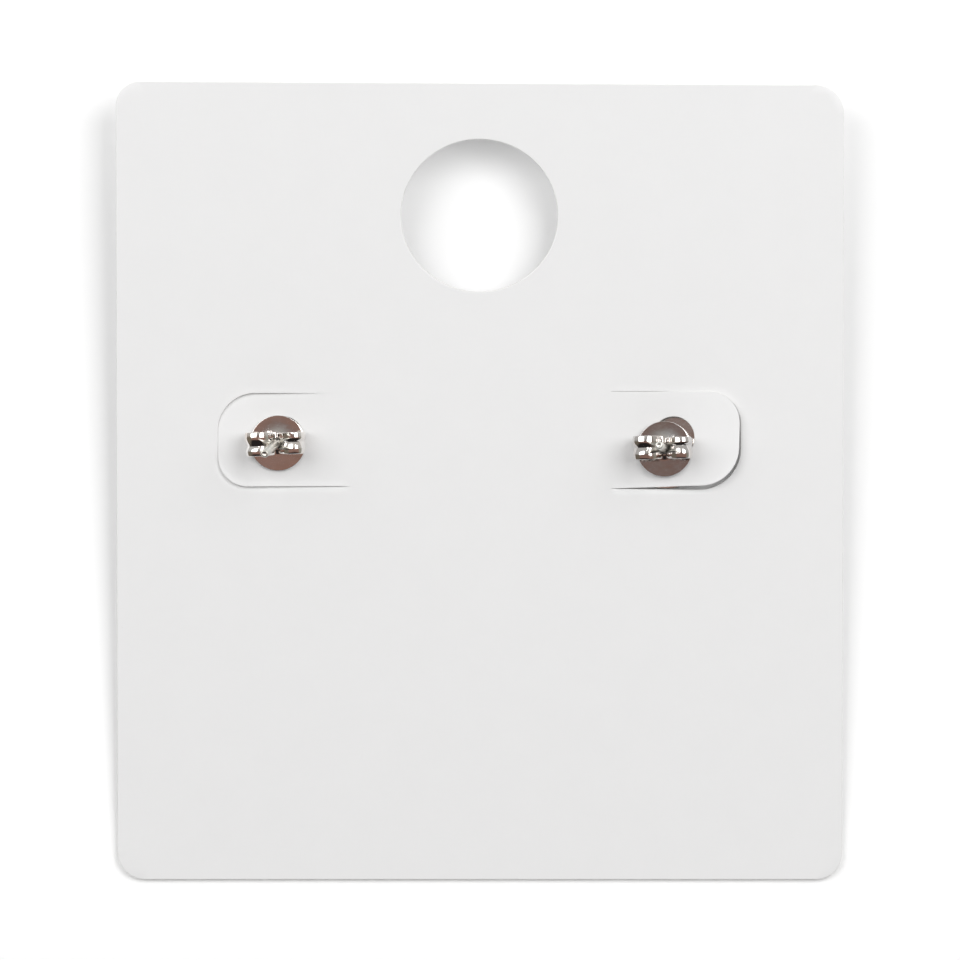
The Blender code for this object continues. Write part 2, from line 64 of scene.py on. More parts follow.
# lift is how far the free end stands up at its middle, twist how much more at its
# lower edge and less at its upper one; lips are how far the board curls up beside
# the slit, on the tab and on the card; slit is (share of the way from the upper
# root to the lower root, width), and tab_share is how much of it the tab gives
TABS = (
    {"name": "left", "root_x": -10.77, "free_x": -21.63, "low_y": -0.33, "high_y": 7.38, "slant": 0.0,
     "radius_low": 2.48, "radius_high": 3.05, "hole": (-16.27, 3.82, 1.64),
     "lift": 0.0, "twist": 0.32, "ramp": 0.30, "tab_share": 0.5, "starts": 0.09, "lip_from": (0.15, 0.50),
     "lip_tab": {"high": -0.03, "end": 0.015, "low": 0.06},
     "lip_card": {"high": 0.03, "end": -0.010, "low": -0.08},
     "slit": ((0.0, 0.001), (0.075, 0.001), (0.11, 0.002), (0.15, 0.004), (0.19, 0.016), (0.22, 0.026), (0.26, 0.032),
              (0.30, 0.030), (0.34, 0.024), (0.38, 0.016), (0.43, 0.012), (0.50, 0.009), (0.56, 0.010),
              (0.62, 0.016), (0.68, 0.026), (0.72, 0.034), (0.95, 0.036), (0.98, 0.030), (1.0, 0.010))},
    {"name": "right", "root_x": 10.84, "free_x": 21.51, "low_y": -0.47, "high_y": 7.53, "slant": -0.05,
     "radius_low": 3.36, "radius_high": 2.60, "hole": (16.00, 3.75, 1.72),
     "lift": 0.74, "twist": 0.42, "ramp": 0.30, "tab_share": 0.66, "starts": 0.0, "lip_from": (0.0, 0.06),
     "lip_tab": {"high": -0.01, "end": 0.010, "low": 0.050},
     "lip_card": {"high": 0.03, "end": -0.020, "low": -0.080},
     "slit": ((0.0, 0.010), (0.014, 0.018), (0.106, 0.021), (0.14, 0.018), (0.168, 0.006), (0.20, 0.002),
              (0.38, 0.003), (0.41, 0.030), (0.43, 0.060), (0.46, 0.090), (0.50, 0.13), (0.54, 0.19),
              (0.62, 0.31), (0.70, 0.38), (0.74, 0.38), (0.80, 0.30), (0.85, 0.21), (0.90, 0.150),
              (0.94, 0.100), (0.975, 0.050), (1.0, 0.012))},
)
LIP_REACH = 0.34

# ------------------------------------------------------------------------ stud
HEAD_RADIUS = 3.30
HEAD_THICKNESS = 1.90
HEAD_RIM = 0.35
POST_RADIUS = 0.325
POST_LENGTH = 9.60
NOTCH_FROM_TIP = 1.10
NOTCH_LENGTH = 0.50
NOTCH_DEPTH = 0.06
SOLDER_FILLET = 0.18
STUD_STEPS = 96

# ---------------------------------------------------------------------- clutch
DISC_RADIUS = 2.28
DISC_THICKNESS = 0.25
BORE_RADIUS = 0.395
COLLAR_RISE = 0.17                         # the metal is drawn up round the bore
COLLAR_REACH = 0.95
DISC_STEPS = 160
STRIP_THICKNESS = 0.20
STRIP_EDGE = 0.055                         # round on the strip's edges
# one arm's outer face, from inside the disc, up and over, to the rolled-in end:
# runs of (length, degrees turned), with the strip's width, the depth of its groove
# and how far its edges fall away at the end of each run
ARM_START = (1.15, 0.03)
ARM_RUNS = (
    (0.807, 0.0, 1.90, 0.00, 0.00),
    (0.768, 80.0, 1.94, 0.02, 0.02),
    (1.047, 10.0, 1.96, 0.12, 0.05),
    (0.720, 0.0, 1.98, 0.19, 0.06),
    (0.393, 45.0, 1.98, 0.20, 0.06),
    (1.068, 45.0, 1.98, 0.20, 0.06),
    (0.556, 27.0, 1.96, 0.16, 0.06),
    (1.748, 63.0, 1.84, 0.28, 0.05),
    (0.660, 90.0, 1.70, 0.14, 0.01),
    (0.349, 40.0, 1.60, 0.00, 0.00),
)
ARM_CREST = 1.482                          # how far out the arm stands highest
ARM_SMOOTH = 0.16                          # the bends run into each other over this length
POST_ROOM = 0.035                          # the grooves keep this far off the post
ARM_STATIONS = 130

# where the studs' head backs and the clutches' discs stand, and how they lean
STUDS = (
    {"name": "left", "at": (-16.55416, 3.29198, 1.92840), "axis": (-0.110851, -0.107788, 0.987975)},
    {"name": "right", "at": (15.34709, 2.62716, 1.89648), "axis": (-0.071773, 0.033893, 0.996845)},
)
# the arms are bent by hand: lean is run over rise, and each arm has its ridges
# (above and below) and the bottom of its groove at its own distance from the
# strip's middle, and its own share of groove and of fallen edge on the inner side
CLUTCHES = (
    {"name": "left", "cup": 2.10, "at": (-16.68, 3.16962, 3.04999), "axis": (0.0, -0.025991, 0.999662), "turn": 2.0,
     "lean": -0.040,
     "arms": ({"side": -1.0, "high": 0.52, "groove": -0.16, "low": -0.62, "depth_low": 0.65, "inner": 0.8, "edge": (0.5, 0.5), "spread": (1.0, 1.0), "wide": 1.0, "y": 0.0},
              {"side": 1.0, "high": 0.46, "groove": 0.10, "low": -0.46, "depth_low": 0.80, "inner": 1.0, "edge": (-1.3, 0.8), "spread": (0.82, 0.75), "wide": 0.91, "y": 0.0})},
    {"name": "right", "cup": 1.90, "at": (15.236, 2.67962, 3.43939), "axis": (-0.006997, 0.025991, 0.999638), "turn": 1.5,
     "lean": -0.025,
     "arms": ({"side": -1.0, "high": 0.50, "groove": 0.00, "low": -0.56, "depth_low": 0.75, "inner": 0.5, "edge": (0.4, 0.4), "spread": (1.0, 1.0), "wide": 1.0, "y": 0.07},
              {"side": 1.0, "high": 0.46, "groove": 0.20, "low": -0.43, "depth_low": 0.90, "inner": 0.9, "edge": (0.3, 1.0), "spread": (0.80, 0.71), "wide": 0.91, "y": 0.0})},
)

# ----------------------------------------------------------------------- studio
CAMERA_AT = (0.0000124, 0.000112, 0.80264)
CAMERA_LENS = 363.0


# ===================================================================== helpers
def new_object(name, mesh):
    obj = bpy.data.objects.new(name, mesh)
    bpy.context.scene.collection.objects.link(obj)
    return obj


def object_from_bmesh(name, bm):
    mesh = bpy.data.meshes.new(name)
    bm.to_mesh(mesh)
    bm.free()
    return new_object(name, mesh)


def bake_modifiers(obj):
    """The object's mesh as its modifiers leave it."""
    bpy.context.view_layer.update()
    deps = bpy.context.evaluated_depsgraph_get()
    mesh = bpy.data.meshes.new_from_object(obj.evaluated_get(deps), depsgraph=deps)
    old = obj.data
    obj.modifiers.clear()
    obj.data = mesh
    mesh.name = obj.name
    if old.users == 0:
        bpy.data.meshes.remove(old)
    return obj


def drop(obj):
    mesh = obj.data
    bpy.data.objects.remove(obj, do_unlink=True)
    if mesh.users == 0:
        bpy.data.meshes.remove(mesh)


def smooth(obj, angle, weighted=True):
    obj.data.shade_smooth()
    obj.data.set_sharp_from_angle(angle=radians(angle))
    if weighted:
        mod = obj.modifiers.new("even_shading", "WEIGHTED_NORMAL")
        mod.mode = "FACE_AREA"
        mod.weight = 50
        mod.keep_sharp = True


# ==================================================================== the card
def card_outline():
    points = []
    count = len(CARD_CORNERS)
    for i, (cx0, cy0, radius) in enumerate(CARD_CORNERS):
        here = Vector((cx0, cy0))
        before = Vector(CARD_CORNERS[i - 1][:2])
        after = Vector(CARD_CORNERS[(i + 1) % count][:2])
        to_before = (before - here).normalized()
        to_after = (after - here).normalized()
        half = to_before.angle(to_after) / 2.0
        centre = here + (to_before + to_after).normalized() * radius / sin(half)
        first = here + to_before * radius / (sin(half) / cos(half)) - centre
        last = here + to_after * radius / (sin(half) / cos(half)) - centre
        a0 = atan2(first.y, first.x)
        turn = (atan2(last.y, last.x) - a0) % (2.0 * pi)
        for k in range(CORNER_STEPS + 1):
            a = a0 + turn * k / CORNER_STEPS
            points.append((centre.x + radius * cos(a), centre.y + radius * sin(a)))
    return points


def ellipse(x, y, rx, ry, steps):
    """Clockwise, so that the card is on its left."""
    return [(x + rx * cos(-2.0 * pi * k / steps), y + ry * sin(-2.0 * pi * k / steps)) for k in range(steps)]


def slit_path(tab, step=0.25):
    """The U of a tab's slit as (x, y, width), from the upper root to the lower root."""
    side = 1.0 if tab["free_x"] > tab["root_x"] else -1.0
    corner = []
    for y_edge, radius, start in ((tab["high_y"], tab["radius_high"], 90.0), (tab["low_y"], tab["radius_low"], 0.0)):
        cy = y_edge - radius if start > 0.0 else y_edge + radius
        cx = tab["free_x"] - side * radius
        arc = []
        for k in range(19):
            a = radians(start - 90.0 * k / 18)
            arc.append((cx + side * radius * cos(a), cy + radius * sin(a)))
        corner.append(arc)
    stops = [(tab["root_x"], tab["high_y"])] + corner[0] + corner[1] + [(tab["root_x"], tab["low_y"] + tab["slant"])]
    points = []
    for (ax, ay), (bx, by) in zip(stops, stops[1:]):
        n = max(1, int(ceil(hypot(bx - ax, by - ay) / step)))
        for k in range(n):
            points.append((ax + (bx - ax) * k / n, ay + (by - ay) * k / n))
    points.append(stops[-1])
    far = [0.0]
    for (ax, ay), (bx, by) in zip(points, points[1:]):
        far.append(far[-1] + hypot(bx - ax, by - ay))
    shares = [f / far[-1] for f in far]
    widths = np.interp(shares, [s for s, _ in tab["slit"]], [w for _, w in tab["slit"]])
    return [(x, y, w) for (x, y), w in zip(points, widths)]


def normals_left(points, closed=True):
    """Unit normals on the left of a run of points."""
    p = np.array(points, float)[:, :2]
    if closed:
        ahead, behind = np.roll(p, -1, 0) - p, p - np.roll(p, 1, 0)
    else:
        ahead = np.vstack([p[1:] - p[:-1], p[-1:] - p[-2:-1]])
        behind = np.vstack([p[1:2] - p[0:1], p[1:] - p[:-1]])
    a = ahead / np.maximum(np.linalg.norm(ahead, axis=1), 1e-12)[:, None]
    b = behind / np.maximum(np.linalg.norm(behind, axis=1), 1e-12)[:, None]
    t = a + b
    size = np.linalg.norm(t, axis=1)
    t = np.where(size[:, None] > 0.5, t / np.maximum(size, 1e-12)[:, None], a)
    return np.stack([-t[:, 1], t[:, 0]], 1)


def slit_loop(tab):
    """The open slit as one closed loop with the card on its left, each point's way into the card, and its round."""
    path = slit_path(tab)
    path = path[int(round(tab["starts"] * len(path))):]
    n = normals_left(path, closed=False)
    p = np.array(path)[:, :2]
    w = np.array(path)[:, 2:3] / 2.0
    side = 1.0 if tab["free_x"] > tab["root_x"] else -1.0
    back = np.array([[-side, 0.0]])
    # on the right-hand tab the left of the path is the card's side, on the other the tab's
    tab_side = tab["tab_share"] if side < 0.0 else 1.0 - tab["tab_share"]
    one, two = p + n * w * 2.0 * tab_side, p - n * w * 2.0 * (1.0 - tab_side)
    loop = np.vstack([one, p[-1:] + back * 0.03, two[::-1], p[:1] + back * 0.03])
    into = np.vstack([n, back, -n[::-1], back])
    edge = SLIT_ROUND * np.clip(w[:, 0] * 2.0 / 0.012, 0.1, 1.0)
    edge = np.concatenate([edge, edge[-1:], edge[::-1], edge[:1]])
    area = 0.5 * np.sum(loop[:, 0] * np.roll(loop[:, 1], -1) - loop[:, 1] * np.roll(loop[:, 0], -1))
    if area > 0.0:
        loop, into, edge = loop[::-1], into[::-1], edge[::-1]
    return loop, into, edge


def distance_to_path(points, path):
    """Shortest way from each point to a run of points, and how far along it that is."""
    p = np.asarray(points, float)
    q = np.asarray(path, float)[:, :2]
    a, b = q[:-1], q[1:]
    ab = b - a
    len2 = np.maximum((ab ** 2).sum(1), 1e-12)
    best = np.full(len(p), 1e9)
    for i in range(len(a)):
        t = np.clip(((p - a[i]) @ ab[i]) / len2[i], 0.0, 1.0)
        d = np.hypot(*(p - a[i] - t[:, None] * ab[i]).T)
        best = np.minimum(best, d)
    return best


def in_polygon(points, poly):
    p, q = np.asarray(points, float), np.asarray(poly, float)
    inside = np.zeros(len(p), bool)
    r = np.roll(q, -1, 0)
    for (ax, ay), (bx, by) in zip(q, r):
        if ay == by:
            continue
        hit = (ay > p[:, 1]) != (by > p[:, 1])
        inside ^= hit & (p[:, 0] < (bx - ax) * (p[:, 1] - ay) / (by - ay) + ax)
    return inside


def bend_ramp(u, share):
    u = np.clip(u, 0.0, None)
    value = np.where(u < share, u * u / (2.0 * share), u - share / 2.0)
    return value / (1.0 - share / 2.0)


def tab_region(tab):
    """The slit's centre line closed across the root."""
    return [(x, y) for x, y, _ in slit_path(tab)]


def step_up(x, a, b):
    t = np.clip((x - a) / (b - a), 0.0, 1.0)
    return t * t * (3.0 - 2.0 * t)


def card_heights(xy, on_tab):
    """How far each point stands above the flat card: lifted tabs and pressed lips."""
    z = np.zeros(len(xy))
    for i, tab in enumerate(TABS):
        path = slit_path(tab)
        mine = on_tab == i
        u = (xy[:, 0] - tab["root_x"]) / (tab["free_x"] - tab["root_x"])
        mid = (tab["low_y"] + tab["high_y"]) / 2.0
        v = (xy[:, 1] - mid) / (tab["high_y"] - mid)
        lift = (tab["lift"] - tab["twist"] * v) * bend_ramp(u, tab["ramp"])
        z += np.where(mine, lift, 0.0)
        high, low = step_up(v, 0.25, 0.85), step_up(-v, 0.25, 0.85)
        end = np.clip(1.0 - high - low, 0.0, 1.0)
        high = high * step_up(u, *tab["lip_from"])
        lips = []
        for key in ("lip_tab", "lip_card"):
            lips.append(tab[key]["high"] * high + tab[key]["low"] * low + tab[key]["end"] * end)
        near = np.exp(-(distance_to_path(xy, path) / LIP_REACH) ** 2) * step_up(u, 0.0, 0.06)
        z += np.where(mine, lips[0], lips[1]) * near
    return z


def build_card():
    loops, intos, rounds = [], [], []

    def add(points, into=None, edge=EDGE_ROUND):
        p = np.array(points, float)
        loops.append(p)
        intos.append(normals_left(p) if into is None else np.array(into, float))
        rounds.append(np.full(len(p), edge) if isinstance(edge, float) else edge)

    add(card_outline())
    add(ellipse(*HANG_HOLE, 160))
    for tab in TABS:
        add(ellipse(tab["hole"][0], tab["hole"][1], tab["hole"][2], tab["hole"][2], 96))
    for tab in TABS:
        add(*slit_loop(tab))

    inner = [p + n * edge[:, None] for p, n, edge in zip(loops, intos, rounds)]

    # points between the edges: rings that follow each slit and hole, then a grid
    extra = []
    for tab in TABS:
        path = slit_path(tab, 0.3)
        n = normals_left(path, closed=False)
        p = np.array(path)[:, :2]
        w = np.array(path)[:, 2:3]
        for d in (0.06, 0.11, 0.17, 0.26, 0.38, 0.55, 0.80):
            extra.append(p + n * (d + w))
            extra.append(p - n * (d + w))
        for d in (0.12, 0.25, 0.5):
            extra.append(np.array(ellipse(tab["hole"][0], tab["hole"][1], tab["hole"][2] + d, tab["hole"][2] + d, 72)))
    for d in (0.15, 0.45, 1.0):
        extra.append(np.array(ellipse(HANG_HOLE[0], HANG_HOLE[1], HANG_HOLE[2] + d, HANG_HOLE[3] + d, 120)))
    near = np.vstack(extra)

    def grid(x0, x1, y0, y1, step):
        xs = np.arange(x0, x1 + 1e-9, step)
        ys = np.arange(y0, y1 + 1e-9, step)
        pts = []
        for j, y in enumerate(ys):
            for x in xs:
                pts.append((x + (step / 2.0 if j % 2 else 0.0), y))
        return np.array(pts)

    fine = np.vstack([grid(min(t["root_x"], t["free_x"]) - 2.2, max(t["root_x"], t["free_x"]) + 2.2,
                           t["low_y"] - 2.2, t["high_y"] + 2.2, 0.5) for t in TABS])
    coarse = grid(-29.0, 29.0, -32.0, 32.0, 1.6)
    keep = np.ones(len(coarse), bool)
    for t in TABS:
        keep &= ~((coarse[:, 0] > min(t["root_x"], t["free_x"]) - 2.6) & (coarse[:, 0] < max(t["root_x"], t["free_x"]) + 2.6)
                  & (coarse[:, 1] > t["low_y"] - 2.6) & (coarse[:, 1] < t["high_y"] + 2.6))
    coarse = coarse[keep]
    keep = np.ones(len(fine), bool)
    for t in TABS:
        keep &= distance_to_path(fine, slit_path(t, 0.3)) > 1.0
        keep &= np.hypot(fine[:, 0] - t["hole"][0], fine[:, 1] - t["hole"][1]) > t["hole"][2] + 0.75
    fine = fine[keep]
    spots = np.vstack([near, fine, coarse])
    # all of them on the board, clear of every edge
    ok = in_polygon(spots, inner[0]) & (distance_to_path(spots, np.vstack([inner[0], inner[0][:1]])) > 0.03)
    for ring in inner[1:]:
        ok &= ~in_polygon(spots, ring) & (distance_to_path(spots, np.vstack([ring, ring[:1]])) > 0.03)
    spots = spots[ok]

    verts, edges = [], []
    for ring in inner:
        base = len(verts)
        verts += [Vector(p) for p in ring]
        edges += [(base + k, base + (k + 1) % len(ring)) for k in range(len(ring))]
    n_edge = len(verts)
    verts += [Vector(p) for p in spots]
    out_v, _, out_f, orig, _, _ = delaunay_2d_cdt(verts, edges, [], 0, 1e-6, True)
    xy = np.array([(v.x, v.y) for v in out_v])
    faces = np.array([f for f in out_f])
    mid = xy[faces].mean(1)
    ok = in_polygon(mid, inner[0])
    for ring in inner[1:]:
        ok &= ~in_polygon(mid, ring)
    faces = faces[ok]

    # where each loop's own points went
    place = {}
    for new, olds in enumerate(orig):
        for old in olds:
            place[old] = new

    on_tab = np.full(len(xy), -1)
    for i, tab in enumerate(TABS):
        on_tab[in_polygon(xy, tab_region(tab))] = i
    heights = card_heights(xy, on_tab)

    bm = bmesh.new()
    top = [bm.verts.new((x, y, CARD_THICKNESS + h)) for (x, y), h in zip(xy, heights)]
    low = [bm.verts.new((x, y, h)) for (x, y), h in zip(xy, heights)]
    for a, b, c in faces:
        bm.faces.new((top[a], top[b], top[c]))
        bm.faces.new((low[a], low[c], low[b]))
    base = 0
    for ring, out_ring, into, edge in zip(inner, loops, intos, rounds):
        ids = [place[base + k] for k in range(len(ring))]
        base += len(ring)
        columns = []
        for k, vid in enumerate(ids):
            h = heights[vid]
            column = [top[vid]]
            for depth, reach in ((0.134, 0.5), (0.5, 0.134), (1.0, 0.0)):
                q = out_ring[k] + into[k] * edge[k] * reach
                column.append(bm.verts.new((q[0], q[1], CARD_THICKNESS + h - edge[k] * depth)))
            for depth, reach in ((1.0, 0.0), (0.5, 0.134), (0.134, 0.5)):
                q = out_ring[k] + into[k] * edge[k] * reach
                column.append(bm.verts.new((q[0], q[1], h + edge[k] * depth)))
            column.append(low[vid])
            columns.append(column)
        for k in range(len(columns)):
            a, b = columns[k], columns[(k + 1) % len(columns)]
            for s in range(len(a) - 1):
                face = bm.faces.new((a[s], a[s + 1], b[s + 1], b[s]))
                face.material_index = 1 if 1 <= s <= len(a) - 3 else 0
    bmesh.ops.recalc_face_normals(bm, faces=bm.faces)
    tilt = Matrix.Rotation(radians(CARD_TILT_DEG), 4, "X")
    for v in bm.verts:
        v.co = (tilt @ v.co + Vector(CARD_SHIFT)) * MM
    return object_from_bmesh("card_board", bm)


# =================================================================== the studs
def stud_profile():
    """Half section, from the post's tip round to the middle of the dome."""
    r, tip = POST_RADIUS, POST_LENGTH
    points = [(0.0, tip - 0.07), (0.07, tip - 0.062), (0.12, tip - 0.03), (0.16, tip - 0.012), (0.20, tip - 0.006)]
    for k in range(1, 8):
        a = radians(90.0 - 90.0 * k / 7)
        points.append((0.20 + 0.125 * cos(a), tip - 0.16 + 0.154 * sin(a)))
    z = tip - 0.30
    # three light grip rings, then the notch that the clutch clicks into
    for centre in (tip - 0.45, tip - 0.66, tip - 0.87):
        for dz, cut in ((0.06, 0.0), (0.035, 0.008), (0.0, 0.016), (-0.035, 0.008), (-0.06, 0.0)):
            points.append((r - cut, centre + dz))
    start = tip - NOTCH_FROM_TIP
    for k in range(9):
        t = k / 8.0
        points.append((r - NOTCH_DEPTH * (sin(pi * min(1.0, t * 2.4) / 2.0) ** 2 if t < 0.5
                                          else sin(pi * min(1.0, (1.0 - t) * 2.4) / 2.0) ** 2),
                       start - NOTCH_LENGTH * t))
    for zz in (6.8, 5.4, 4.0, 2.6, 1.4, 0.6):
        points.append((r, zz))
    for k in range(9):
        a = pi / 2.0 * k / 8.0
        points.append((r + SOLDER_FILLET * (1.0 - cos(a)), SOLDER_FILLET * (1.0 - sin(a))))
    points += [(0.9, 0.0), (1.5, 0.0), (2.2, 0.0), (2.8, 0.0), (3.08, 0.0)]
    for k in range(1, 7):
        a = radians(90.0 - 90.0 * k / 6)
        points.append((HEAD_RADIUS - 0.12 + 0.12 * cos(a), -0.12 + 0.12 * sin(a)))
    points.append((HEAD_RADIUS, -0.20))
    points.append((HEAD_RADIUS, -HEAD_RIM))
    rise = HEAD_THICKNESS - HEAD_RIM
    ball = (HEAD_RADIUS ** 2 + rise ** 2) / (2.0 * rise)
    for k in range(1, 25):
        q = HEAD_RADIUS * cos(pi / 2.0 * k / 24.0)
        points.append((q, -HEAD_THICKNESS + ball - sqrt(ball * ball - q * q)))
    points[-1] = (0.0, -HEAD_THICKNESS)
    return points


def turned(name, points, steps, closed):
    bm = bmesh.new()
    verts = [bm.verts.new((r * MM, 0.0, z * MM)) for r, z in points]
    for a, b in zip(verts, verts[1:]):
        bm.edges.new((a, b))
    if closed:
        bm.edges.new((verts[-1], verts[0]))
    obj = object_from_bmesh(name, bm)
    mod = obj.modifiers.new("turn", "SCREW")
    mod.axis = "Z"
    mod.angle = 2.0 * pi
    mod.steps = steps
    mod.render_steps = steps
    mod.use_merge_vertices = True
    mod.merge_threshold = 1e-8
    mod.use_smooth_shade = True
    return bake_modifiers(obj)


def placed_copy(name, mesh, at, axis, turn=0.0):
    """A copy of a mesh, stood where the frame has it, its place in its vertices."""
    lean = Vector((0.0, 0.0, 1.0)).rotation_difference(Vector(axis)).to_matrix()
    spin = Matrix.Rotation(radians(turn), 3, "Z")
    copy = mesh.copy()
    copy.name = name
    copy.transform(Matrix.Translation(Vector(at) * MM) @ (lean @ spin).to_4x4())
    return new_object(name, copy)


# ================================================================ the clutches
def arm_path():
    """The arm's run as rows of (x, z, heading, width, groove, droop, share of the way)."""
    total = sum(row[0] for row in ARM_RUNS)
    fine = 1200
    s = np.linspace(0.0, total, fine + 1)
    ends = np.cumsum([0.0] + [row[0] for row in ARM_RUNS])
    turn = np.interp(s, ends, np.cumsum([0.0] + [radians(row[1]) for row in ARM_RUNS]))
    cols = [np.interp(s, ends, [ARM_RUNS[0][c]] + [row[c] for row in ARM_RUNS]) for c in (2, 3, 4)]
    half = int(ARM_SMOOTH / total * fine / 2.0)
    window = np.hanning(2 * half + 3)[1:-1]
    window /= window.sum()

    def eased(values):
        padded = np.concatenate([np.full(half, values[0]), values, np.full(half, values[-1])])
        return np.convolve(padded, window, "valid")

    turn = eased(turn)
    cols = [eased(eased(c)) for c in cols]
    step = total / fine
    mid = (turn[1:] + turn[:-1]) / 2.0
    x = ARM_START[0] + np.concatenate([[0.0], np.cumsum(np.cos(mid) * step)])
    z = ARM_START[1] + np.concatenate([[0.0], np.cumsum(np.sin(mid) * step)])
    pick = np.linspace(0, fine, ARM_STATIONS + 1).round().astype(int)
    return [(x[k], z[k], turn[k], cols[0][k], cols[1][k], cols[2][k], s[k] / total) for k in pick]


def strip_section(row, arm, post, lean, shrink=0.0, ahead=0.0):
    """One closed section of an arm's strip, kept clear of the post that leans between the arms."""
    x, z, heading, width, groove, droop, _ = row
    side = arm["side"]
    if x > ARM_CREST:
        spread = arm["spread"][0] + (arm["spread"][1] - arm["spread"][0]) * step_up(z, 0.6, 2.0)
        x = ARM_CREST + (x - ARM_CREST) * spread
    tx, tz = cos(heading), sin(heading)
    nx, nz = tz, -tx
    width *= arm["wide"]
    half = width / 2.0
    e = STRIP_EDGE
    stops = [-half + e * s for s in (0.0, 0.10, 0.30, 0.60, 1.0)]
    inside = [(-half + e) + (width - 2.0 * e) * k / 34.0 for k in range(1, 34)]
    ys = stops + inside + [-s for s in reversed(stops)]

    # past the crest the arm turns in towards the post
    inner = step_up(heading, radians(178.0), radians(200.0))
    pinch = step_up(heading, radians(205.0), radians(255.0))
    groove *= 1.0 + (arm["inner"] - 1.0) * inner * (1.0 - pinch)
    droop_high = droop * (1.0 + (arm["edge"][0] - 1.0) * inner)
    droop_low = droop * (1.0 + (arm["edge"][1] - 1.0) * inner)
    bottom = arm["groove"] * (1.0 - pinch) + post[1] * (z - DISC_THICKNESS / 2.0) * pinch
    high = arm["high"] * (1.0 - pinch) + 0.5 * pinch
    low = arm["low"] * (1.0 - pinch) - 0.5 * pinch
    shallow = 1.0 + (arm["depth_low"] - 1.0) * (1.0 - pinch)

    def fall(y):
        if y > high:
            return droop_high * ((y - high) / (half - high)) ** 2
        if y < low:
            return groove * (1.0 - shallow) + droop_low * ((low - y) / (half + low)) ** 2
        if y > bottom:
            return groove * (1.0 - sin(pi / 2.0 * (y - bottom) / (high - bottom)))
        return groove * (1.0 - shallow) + groove * shallow * (1.0 - sin(pi / 2.0 * (bottom - y) / (bottom - low)))

    def round_off(y):
        over = abs(y) - (half - e)
        return 0.0 if over <= 0.0 else e - sqrt(max(0.0, e * e - over * over))

    def point(y, depth):
        return (x - nx * depth + tx * ahead, arm["y"] + y * (1.0 - shrink / half), z - nz * depth + tz * ahead)

    def room(p):
        """How far out this point has to move to clear the post."""
        up = p[2] - DISC_THICKNESS / 2.0
        px, py = post[0] * up * side, post[1] * up
        need = POST_RADIUS + POST_ROOM
        over = need * need - (p[1] - py) ** 2
        out = (p[0] + side * lean * max(0.0, p[2] - 0.25)) - px
        return max(0.0, sqrt(over) - out) if over > 0.0 and out > -need else 0.0

    outer, inner_face = [], []
    for y in ys:
        p = point(y, fall(y) + round_off(y) + shrink)
        q = point(y, fall(y) + STRIP_THICKNESS - round_off(y) - shrink)
        push = room(p) * step_up(heading, radians(150.0), radians(185.0))
        for spot, out_row in ((p, outer), (q, inner_face)):
            leaned = side * (spot[0] + push) + lean * max(0.0, spot[2] - 0.25)
            out_row.append((leaned, spot[1], spot[2]))
    return outer + inner_face[::-1]


def build_disc(cup_reach):
    """The disc: its rim pressed softer at the upper right, its upper half cupped as far out as cup_reach, a collar at the bore."""
    half = DISC_THICKNESS / 2.0
    bm = bmesh.new()
    rings = []
    for k in range(DISC_STEPS):
        a = 2.0 * pi * k / DISC_STEPS
        off = (a - radians(22.0) + pi) % (2.0 * pi) - pi
        soft = np.exp(-(off / radians(15.0)) ** 2)
        bevel = 0.014 + 0.085 * soft
        fallen = 0.001 + 0.021 * soft
        edge = 0.022 + 0.013 * soft
        points = []
        for r, z in ((0.395, 0.0), (0.398, half * 0.8), (0.43, half + 0.9 * COLLAR_RISE), (0.445, half + COLLAR_RISE)):
            points.append((r, z))
        cup = step_up(sin(a), -0.35, 0.25)
        for r in (0.50, 0.56, 0.62, 0.69, 0.76, 0.84, 0.92, 1.00, 1.10, 1.20, 1.30, 1.40, 1.50, 1.60, 1.70, 1.80):
            neck = COLLAR_RISE * (1.0 - step_up(r, 0.50, COLLAR_REACH))
            slope = COLLAR_RISE * (max(0.0, cup_reach - r) / (cup_reach - 0.50)) ** 2
            points.append((r, half + neck + (slope - neck) * cup))
        first = DISC_RADIUS - bevel - edge
        points.append((first - 0.03, half))
        for t in (0.0, 0.2, 0.4, 0.6, 0.8, 1.0):
            points.append((first + bevel * t, half - fallen * t * t))
        start = radians(90.0) - atan2(2.0 * fallen, bevel)
        for j in range(1, 6):
            b = start * (1.0 - j / 5.0)
            points.append((DISC_RADIUS - edge + edge * cos(b) - edge * cos(start) * (1.0 - j / 5.0),
                           half - fallen - edge * (sin(start) - sin(b))))
        for j in range(6):
            b = radians(-90.0 * j / 5)
            points.append((DISC_RADIUS - 0.05 + 0.05 * cos(b), -half + 0.05 + 0.05 * sin(b)))
        points += [(1.6, -half), (0.9, -half), (0.62, -half), (0.50, -half + 0.03), (0.42, -half + 0.09)]
        rings.append([bm.verts.new((r * cos(a) * MM, r * sin(a) * MM, z * MM)) for r, z in points])
    for a, b in zip(rings, rings[1:] + rings[:1]):
        for j in range(len(a)):
            m = (j + 1) % len(a)
            bm.faces.new((a[j], a[m], b[m], b[j]))
    bmesh.ops.recalc_face_normals(bm, faces=bm.faces)
    return object_from_bmesh("clutch_disc", bm)


